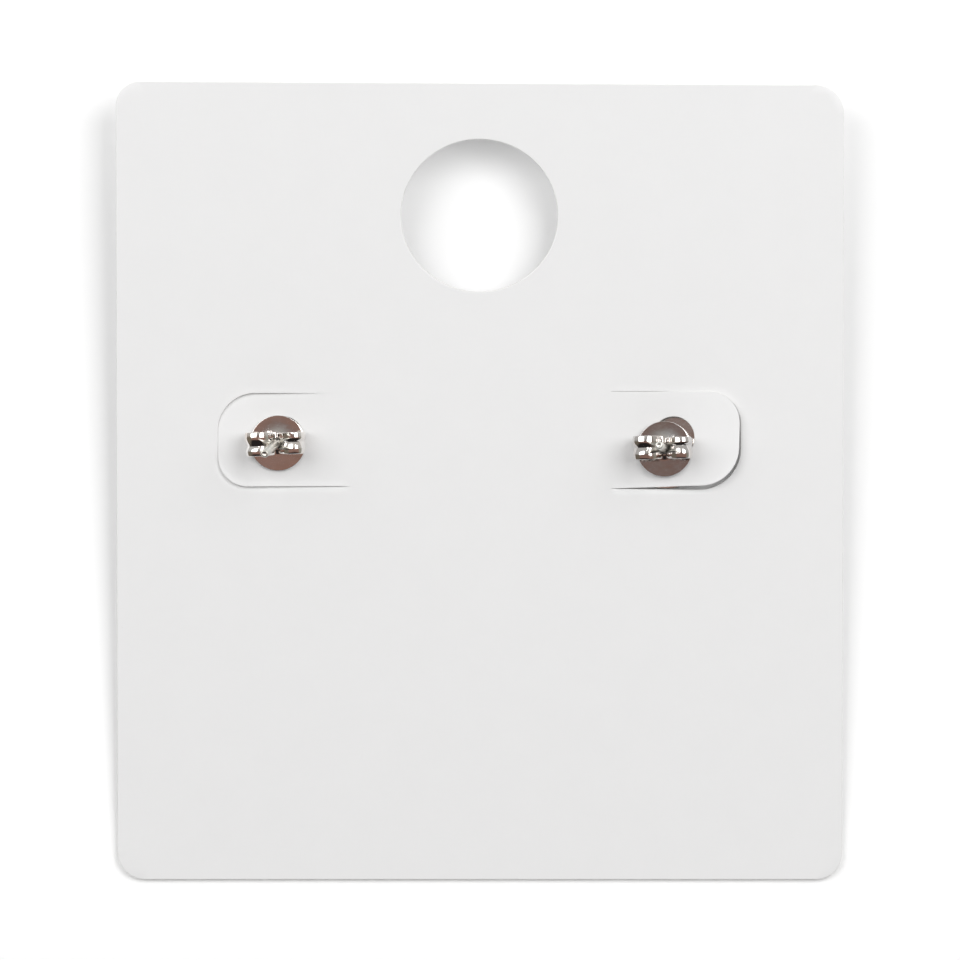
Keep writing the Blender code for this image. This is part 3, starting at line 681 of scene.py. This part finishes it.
def build_clutch(post, row):
    half = DISC_THICKNESS / 2.0
    disc = build_disc(row["cup"])
    path = arm_path()
    bm = bmesh.new()
    for arm in row["arms"]:
        rings = [strip_section(p, arm, post, row["lean"]) for p in path]
        rings.append(strip_section(path[-1], arm, post, row["lean"], 0.012, 0.03))
        rings.append(strip_section(path[-1], arm, post, row["lean"], 0.045, 0.05))
        rows = [[bm.verts.new((x * MM, y * MM, (z - half) * MM)) for x, y, z in ring] for ring in rings]
        for a, b in zip(rows, rows[1:]):
            for k in range(len(a)):
                m = (k + 1) % len(a)
                bm.faces.new((a[k], a[m], b[m], b[k]))
        for ring, flip in ((rows[0], True), (rows[-1], False)):
            n = len(ring) // 2
            for k in range(n - 1):
                quad = (ring[k], ring[k + 1], ring[-2 - k], ring[-1 - k])
                bm.faces.new(tuple(reversed(quad)) if flip else quad)
    bmesh.ops.recalc_face_normals(bm, faces=bm.faces)
    arms = object_from_bmesh("clutch_arms", bm)
    join = disc.modifiers.new("one_piece", "BOOLEAN")
    join.operation = "UNION"
    join.solver = "EXACT"
    join.object = arms
    bake_modifiers(disc)
    drop(arms)
    bm = bmesh.new()
    bm.from_mesh(disc.data)
    bmesh.ops.remove_doubles(bm, verts=bm.verts, dist=1e-7)
    bmesh.ops.dissolve_degenerate(bm, edges=bm.edges, dist=1e-8)
    bm.to_mesh(disc.data)
    bm.free()
    return disc


# =================================================================== materials
def shader(name, colour, roughness, metallic, specular=0.5):
    mat = bpy.data.materials.new(name)
    mat.use_nodes = True
    bsdf = mat.node_tree.nodes["Principled BSDF"]
    bsdf.inputs["Base Color"].default_value = (*colour, 1.0)
    bsdf.inputs["Roughness"].default_value = roughness
    bsdf.inputs["Metallic"].default_value = metallic
    bsdf.inputs["Specular IOR Level"].default_value = specular
    return mat, mat.node_tree, bsdf


def place_in_mm(tree, scale=(1000.0, 1000.0, 1000.0), turn=(0.0, 0.0, 0.0)):
    coord = tree.nodes.new("ShaderNodeTexCoord")
    mapping = tree.nodes.new("ShaderNodeMapping")
    mapping.inputs["Scale"].default_value = scale
    mapping.inputs["Rotation"].default_value = turn
    tree.links.new(coord.outputs["Object"], mapping.inputs["Vector"])
    return mapping.outputs["Vector"]


def noise(tree, vector, scale, detail, rough=0.5):
    node = tree.nodes.new("ShaderNodeTexNoise")
    node.inputs["Scale"].default_value = scale
    node.inputs["Detail"].default_value = detail
    node.inputs["Roughness"].default_value = rough
    tree.links.new(vector, node.inputs["Vector"])
    return node.outputs["Fac"]


def remap(tree, value, a, b, c, d, clamp=True):
    node = tree.nodes.new("ShaderNodeMapRange")
    node.clamp = clamp
    node.inputs["From Min"].default_value = a
    node.inputs["From Max"].default_value = b
    node.inputs["To Min"].default_value = c
    node.inputs["To Max"].default_value = d
    tree.links.new(value, node.inputs["Value"])
    return node.outputs["Result"]


def mix_colour(tree, fac, a, b, kind="MIX"):
    node = tree.nodes.new("ShaderNodeMix")
    node.data_type = "RGBA"
    node.blend_type = kind
    for key, value in ((0, fac), (6, a), (7, b)):
        if isinstance(value, (int, float)):
            node.inputs[key].default_value = value
        elif isinstance(value, tuple):
            node.inputs[key].default_value = (*value, 1.0)
        else:
            tree.links.new(value, node.inputs[key])
    return node.outputs[2]


def math(tree, op, a, b=None):
    node = tree.nodes.new("ShaderNodeMath")
    node.operation = op
    for key, value in ((0, a), (1, b)):
        if value is None:
            continue
        if isinstance(value, (int, float)):
            node.inputs[key].default_value = value
        else:
            tree.links.new(value, node.inputs[key])
    return node.outputs[0]


def bump(tree, bsdf, height, strength, distance):
    node = tree.nodes.new("ShaderNodeBump")
    node.inputs["Strength"].default_value = strength
    node.inputs["Distance"].default_value = distance
    tree.links.new(height, node.inputs["Height"])
    tree.links.new(node.outputs["Normal"], bsdf.inputs["Normal"])


def card_face_material():
    """Smooth white board: faint pulp cloudiness, fine fibres, and a few grey specks."""
    mat, tree, bsdf = shader("card_face", (0.825, 0.825, 0.825), 0.34, 0.0, 0.5)
    plain = place_in_mm(tree)
    cloud = noise(tree, plain, 0.35, 3.0)
    fibre_a = noise(tree, place_in_mm(tree, (1000.0, 260.0, 1000.0), (0.0, 0.0, 0.5)), 4.5, 4.0, 0.6)
    fibre_b = noise(tree, place_in_mm(tree, (260.0, 1000.0, 1000.0), (0.0, 0.0, -0.35)), 4.5, 4.0, 0.6)
    fibres = math(tree, "ADD", fibre_a, fibre_b)
    tone = math(tree, "ADD", remap(tree, cloud, 0.3, 0.7, -0.004, 0.004),
                remap(tree, fibres, 0.6, 1.4, -0.0045, 0.0045))
    specks = tree.nodes.new("ShaderNodeTexVoronoi")
    specks.inputs["Scale"].default_value = 0.42
    specks.inputs["Randomness"].default_value = 1.0
    tree.links.new(plain, specks.inputs["Vector"])
    near = remap(tree, specks.outputs["Distance"], 0.0, 0.030, 1.0, 0.0)
    shown = remap(tree, specks.outputs["Color"], 0.80, 0.82, 0.0, 1.0)
    speck = math(tree, "MULTIPLY", near, shown)
    light = math(tree, "ADD", tone, 0.800)
    combine = tree.nodes.new("ShaderNodeCombineColor")
    for key in range(3):
        tree.links.new(light, combine.inputs[key])
    colour = mix_colour(tree, math(tree, "MULTIPLY", speck, 0.22), combine.outputs["Color"], (0.42, 0.40, 0.37))
    tree.links.new(colour, bsdf.inputs["Base Color"])
    tree.links.new(remap(tree, fibres, 0.6, 1.4, 0.28, 0.32), bsdf.inputs["Roughness"])
    grain = noise(tree, plain, 9.0, 5.0, 0.65)
    height = math(tree, "ADD", math(tree, "MULTIPLY", fibres, 0.5), math(tree, "MULTIPLY", grain, 0.6))
    bump(tree, bsdf, height, 0.025, 0.00002)
    return mat


def card_edge_material():
    """The cut edge: layered, rougher, and a little greyer than the face."""
    mat, tree, bsdf = shader("card_edge", (0.80, 0.795, 0.78), 0.75, 0.0, 0.2)
    layers = noise(tree, place_in_mm(tree, (1000.0, 1000.0, 9000.0)), 1.4, 4.0, 0.6)
    fuzz = noise(tree, place_in_mm(tree), 14.0, 4.0, 0.6)
    both = math(tree, "ADD", math(tree, "MULTIPLY", layers, 0.6), math(tree, "MULTIPLY", fuzz, 0.4))
    colour = mix_colour(tree, remap(tree, both, 0.35, 0.65, 0.0, 1.0), (0.74, 0.73, 0.71), (0.84, 0.835, 0.82))
    tree.links.new(colour, bsdf.inputs["Base Color"])
    bump(tree, bsdf, both, 0.35, 0.00002)
    return mat


def plated_metal(name, colour, tarnish, rough_low, rough_high, seed_turn, dented=0.13):
    """Bright plated metal: soft dents, hairlines, a haze of handling, and faint warm tarnish."""
    mat, tree, bsdf = shader(name, colour, rough_low, 1.0)
    plain = place_in_mm(tree, turn=seed_turn)
    cloud = noise(tree, plain, 0.9, 3.0)
    haze = noise(tree, plain, 3.2, 4.0, 0.6)
    hair = noise(tree, place_in_mm(tree, (1000.0, 9000.0, 4000.0), (0.3, 0.2, 0.6)), 2.2, 3.0, 0.6)
    tone = mix_colour(tree, remap(tree, cloud, 0.42, 0.72, 0.0, 0.85), colour, tarnish)
    tree.links.new(tone, bsdf.inputs["Base Color"])
    level = math(tree, "ADD", remap(tree, haze, 0.35, 0.7, 0.0, 0.65), remap(tree, hair, 0.5, 0.75, 0.0, 0.35))
    tree.links.new(remap(tree, level, 0.0, 1.0, rough_low, rough_high), bsdf.inputs["Roughness"])
    dents = noise(tree, plain, 1.3, 2.0)
    height = math(tree, "ADD", math(tree, "MULTIPLY", dents, 1.0), math(tree, "MULTIPLY", hair, 0.02))
    bump(tree, bsdf, height, dented, 0.00006)
    return mat


# ======================================================================= build
card = build_card()
card.data.materials.append(card_face_material())
card.data.materials.append(card_edge_material())
smooth(card, 50.0)
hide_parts("display_card")
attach(card, "carded_studs")

stud_metal = plated_metal("stud_plate", (0.90, 0.88, 0.86), (0.86, 0.80, 0.75), 0.07, 0.15, (0.1, 0.4, 0.2))
post_metal = plated_metal("post_wire", (0.70, 0.71, 0.67), (0.62, 0.60, 0.54), 0.30, 0.44, (0.5, 0.1, 0.9), 0.03)
# the right clutch is a painted-darker copy of the left one's metal: its lower colour and tarnish are painted shade
# standing in for the darker reflections it shows
clutch_metals_right_painted_dark = {
    "left": plated_metal("clutch_plate_left", (0.91, 0.89, 0.87), (0.86, 0.78, 0.72), 0.06, 0.14, (0.0, 0.0, 0.0), 0.20),
    # painted shade: this copy's colour and tarnish are darker than the left clutch's
    "right": plated_metal("clutch_plate_right_painted_dark", (0.73, 0.71, 0.70), (0.69, 0.63, 0.58), 0.07, 0.15, (0.0, 0.0, 0.0), 0.20),
}

blank = turned("stud_blank", stud_profile(), STUD_STEPS, False)
for face in blank.data.polygons:
    if face.center.z > 0.25 * MM:
        face.material_index = 1
for row in STUDS:
    stud = placed_copy("stud_" + row["name"] + "_metal", blank.data, row["at"], row["axis"])
    stud.data.materials.append(stud_metal)
    stud.data.materials.append(post_metal)
    smooth(stud, 50.0, weighted=False)
    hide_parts("stud_" + row["name"])
    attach(stud, "carded_studs")
drop(blank)

for row, stud_row in zip(CLUTCHES, STUDS):
    # the post's way through this clutch, in the clutch's own axes: run over rise
    lean = Vector((0.0, 0.0, 1.0)).rotation_difference(Vector(row["axis"])).to_matrix()
    spin = Matrix.Rotation(radians(row["turn"]), 3, "Z")
    along = (lean @ spin).inverted() @ Vector(stud_row["axis"])
    blank = build_clutch((along.x / along.z, along.y / along.z), row)
    clutch = placed_copy("clutch_" + row["name"] + "_metal", blank.data, row["at"], row["axis"], row["turn"])
    drop(blank)
    clutch.data.materials.clear()
    clutch.data.materials.append(clutch_metals_right_painted_dark[row["name"]])
    smooth(clutch, 42.0)
    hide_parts("clutch_" + row["name"])
    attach(clutch, row["name"] + "_clutch")

# ======================================================================= stage
bm = bmesh.new()
bmesh.ops.create_grid(bm, x_segments=1, y_segments=1, size=4.0)
for v in bm.verts:
    v.co.z = -0.00001
floor = object_from_bmesh("floor", bm)
mat, tree, bsdf = shader("floor_white", (0.95, 0.95, 0.95), 0.7, 0.0, 0.2)
bsdf.inputs["Emission Color"].default_value = (1.0, 1.0, 1.0, 1.0)
bsdf.inputs["Emission Strength"].default_value = 0.045
floor.data.materials.append(mat)


def soft_light(name, at, target, width, height, watts):
    light = bpy.data.lights.new(name, "AREA")
    light.shape = "RECTANGLE"
    light.size = width
    light.size_y = height
    light.energy = watts
    light.color = (1.0, 1.0, 1.0)
    obj = bpy.data.objects.new(name, light)
    bpy.context.scene.collection.objects.link(obj)
    obj.location = at
    obj.rotation_euler = (Vector(target) - Vector(at)).to_track_quat("-Z", "Y").to_euler()
    obj.visible_camera = False
    return obj


soft_light("soft_upper_left", (-0.464, 0.24, 0.60), (-0.464, 0.24, 0.0), 0.673, 0.44, 3.06)
soft_light("soft_upper_right", (0.3735, 0.24, 0.60), (0.3735, 0.24, 0.0), 0.513, 0.46, 3.31)

world = bpy.data.worlds.new("room")
bpy.context.scene.world = world
world.use_nodes = True
tree = world.node_tree
tree.nodes.clear()
out = tree.nodes.new("ShaderNodeOutputWorld")
coord = tree.nodes.new("ShaderNodeTexCoord")
split = tree.nodes.new("ShaderNodeSeparateXYZ")
tree.links.new(coord.outputs["Generated"], split.inputs[0])
dx, dy, dz = (split.outputs[k] for k in range(3))
# straight overhead and towards the viewer the room is a warm brown, darker the
# further back it is; low on the left it is olive; the far side is pale to the floor
overhead = mix_colour(tree, remap(tree, dy, -0.08, 0.08, 0.0, 1.0), (0.262, 0.156, 0.126), (0.190, 0.139, 0.126))
near_top = math(tree, "MULTIPLY", remap(tree, dy, -0.42, -0.27, 0.0, 1.0), remap(tree, dy, 0.10, 0.30, 1.0, 0.0))
shade = mix_colour(tree, near_top, (0.022, 0.019, 0.019), overhead)
shade = mix_colour(tree, remap(tree, dx, -0.82, -0.62, 1.0, 0.0), shade, (0.17, 0.145, 0.115))
shade = mix_colour(tree, remap(tree, dx, 0.78, 0.92, 0.0, 1.0), shade, (0.30, 0.29, 0.25))
far_side = math(tree, "MULTIPLY", remap(tree, dy, 0.0, 0.15, 0.0, 1.0), remap(tree, dz, 0.45, 0.60, 1.0, 0.0))
far_side = math(tree, "MAXIMUM", far_side, remap(tree, dy, 0.050, 0.36, 0.0, 1.0))
shade = mix_colour(tree, far_side, shade, (0.50, 0.49, 0.475))
room = tree.nodes.new("ShaderNodeBackground")
tree.links.new(shade, room.inputs["Color"])
room.inputs["Strength"].default_value = 1.0
fill = tree.nodes.new("ShaderNodeBackground")
fill.inputs["Color"].default_value = (1.0, 1.0, 1.0, 1.0)
tree.links.new(math(tree, "MAXIMUM", remap(tree, dy, -0.3, 0.7, 0.155, 0.56), remap(tree, dy, -0.55, -0.95, 0.155, 1.0)),
               fill.inputs["Strength"])
pale = tree.nodes.new("ShaderNodeBackground")
pale.inputs["Color"].default_value = (0.95, 0.95, 0.95, 1.0)
pale.inputs["Strength"].default_value = 1.0
path = tree.nodes.new("ShaderNodeLightPath")
mix1 = tree.nodes.new("ShaderNodeMixShader")
mix2 = tree.nodes.new("ShaderNodeMixShader")
tree.links.new(path.outputs["Is Diffuse Ray"], mix1.inputs[0])
tree.links.new(room.outputs[0], mix1.inputs[1])
tree.links.new(fill.outputs[0], mix1.inputs[2])
tree.links.new(path.outputs["Is Camera Ray"], mix2.inputs[0])
tree.links.new(mix1.outputs[0], mix2.inputs[1])
tree.links.new(pale.outputs[0], mix2.inputs[2])
tree.links.new(mix2.outputs[0], out.inputs["Surface"])

cam_data = bpy.data.cameras.new("camera")
cam_data.lens = CAMERA_LENS
cam_data.sensor_width = 36.0
cam_data.clip_start = 0.05
cam_data.clip_end = 20.0
cam = bpy.data.objects.new("camera", cam_data)
bpy.context.scene.collection.objects.link(cam)
cam.location = CAMERA_AT
cam.rotation_euler = (0.0, 0.0, 0.0)
bpy.context.scene.camera = cam

bpy.context.scene.view_settings.view_transform = "Standard"
bpy.context.scene.view_settings.look = "None"
bpy.context.scene.view_settings.exposure = 0.0
bpy.context.scene.view_settings.gamma = 1.0
